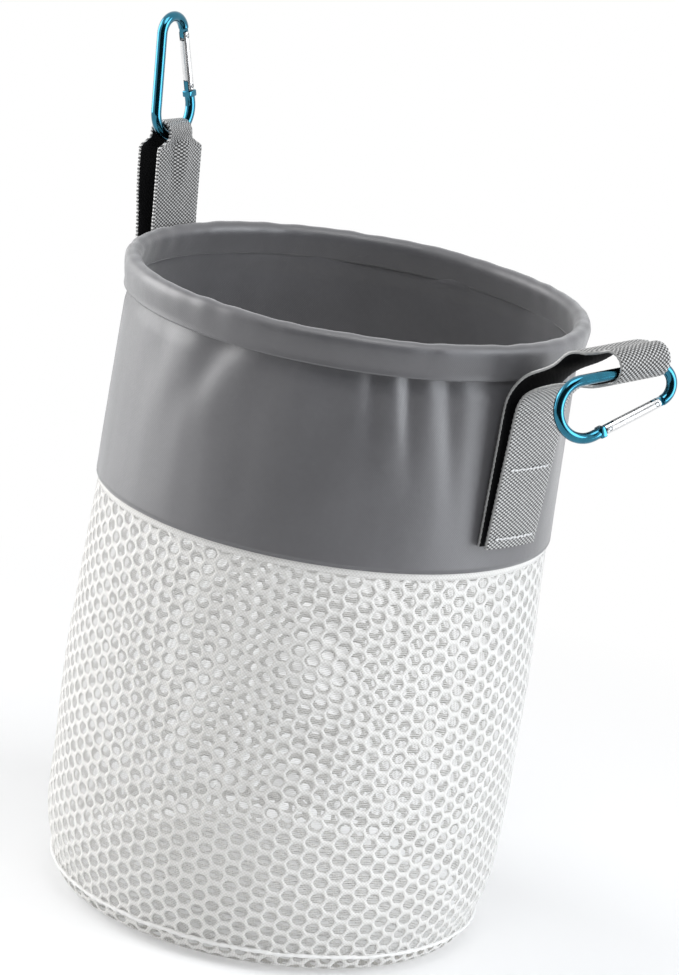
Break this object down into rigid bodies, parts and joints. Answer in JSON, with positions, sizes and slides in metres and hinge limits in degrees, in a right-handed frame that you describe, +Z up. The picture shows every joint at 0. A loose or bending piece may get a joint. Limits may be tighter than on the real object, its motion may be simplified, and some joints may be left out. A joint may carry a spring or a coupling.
{
  "type": "peg bag",
  "caption": "Round open-mouthed laundry bag with a mesh wall and base, a cloth band with a hooped rim, and webbing straps that carry snap hooks for hanging on a washing line",
  "frame": {"origin": "centre of the flat underside of the base, where the bag stands", "axes": "+Z up along the bag's axis to its mouth, +X towards the right strap, -X towards the left strap"},
  "size_m": [0.2822, 0.2032, 0.3763],
  "materials": {
    "grey_cloth": "satin",
    "white_mesh": "matte",
    "webbing": "satin",
    "thread": "matte",
    "spring_steel": "satin",
    "blue_metal": "gloss",
    "silver_metal": "gloss"
  },
  "bodies": {
    "bag": {"rim_hoop": "spring_steel", "hoop_ferrule": "spring_steel", "rim_sleeve": "grey_cloth", "fabric_band": "grey_cloth", "mesh_wall": "white_mesh", "mesh_base": "white_mesh", "base_piping": "white_mesh", "left_strap_tab": "webbing", "left_lower_stitching": "thread", "left_upper_stitching": "thread", "right_strap_tab": "webbing", "right_lower_stitching": "thread", "right_upper_stitching": "thread"},
    "left_loop": {"left_strap_loop": "webbing"},
    "left_hook": {"left_hook_frame": "blue_metal", "left_hinge_pin": "spring_steel"},
    "left_gate": {"left_gate": "silver_metal", "left_latch_pin": "spring_steel", "left_gate_spring": "spring_steel"},
    "right_loop": {"right_strap_loop": "webbing"},
    "right_hook": {"right_hook_frame": "blue_metal", "right_hinge_pin": "spring_steel"},
    "right_gate": {"right_gate": "silver_metal", "right_latch_pin": "spring_steel", "right_gate_spring": "spring_steel"}
  },
  "joints": [
    {"name": "left_strap_fold", "type": "hinge", "parent": "bag", "child": "left_loop", "pos_m": [-0.11019, -0.01061, 0.266], "axis": [0.0958, -0.9954, 0], "range_deg": [-5, 121], "stiffness_Nm_per_rad": 0.15},
    {"name": "left_hook_swing", "type": "hinge", "parent": "left_loop", "child": "left_hook", "pos_m": [-0.11222, -0.01081, 0.32264], "axis": [0.0958, -0.9954, 0], "range_deg": [-80, 80]},
    {"name": "left_gate_open", "type": "hinge", "parent": "left_hook", "child": "left_gate", "pos_m": [-0.1163, -0.00761, 0.36547], "axis": [-0.9916, -0.0955, -0.0872], "range_deg": [0, 20], "stiffness_Nm_per_rad": 0.03, "springref_deg": -11.46},
    {"name": "right_strap_fold", "type": "hinge", "parent": "bag", "child": "right_loop", "pos_m": [0.1107, 0, 0.266], "axis": [0, 1, 0], "range_deg": [-60, 65], "stiffness_Nm_per_rad": 0.15},
    {"name": "right_hook_swing", "type": "hinge", "parent": "right_loop", "child": "right_hook", "pos_m": [0.15302, -0.00034, 0.28843], "axis": [0.3522, 0.9135, 0.2034], "range_deg": [-150, 25]},
    {"name": "right_gate_open", "type": "hinge", "parent": "right_hook", "child": "right_gate", "pos_m": [0.15938, 0.00876, 0.27499], "axis": [-0.9069, 0.3868, -0.1668], "range_deg": [0, 20], "stiffness_Nm_per_rad": 0.03, "springref_deg": -11.46}
  ]
}
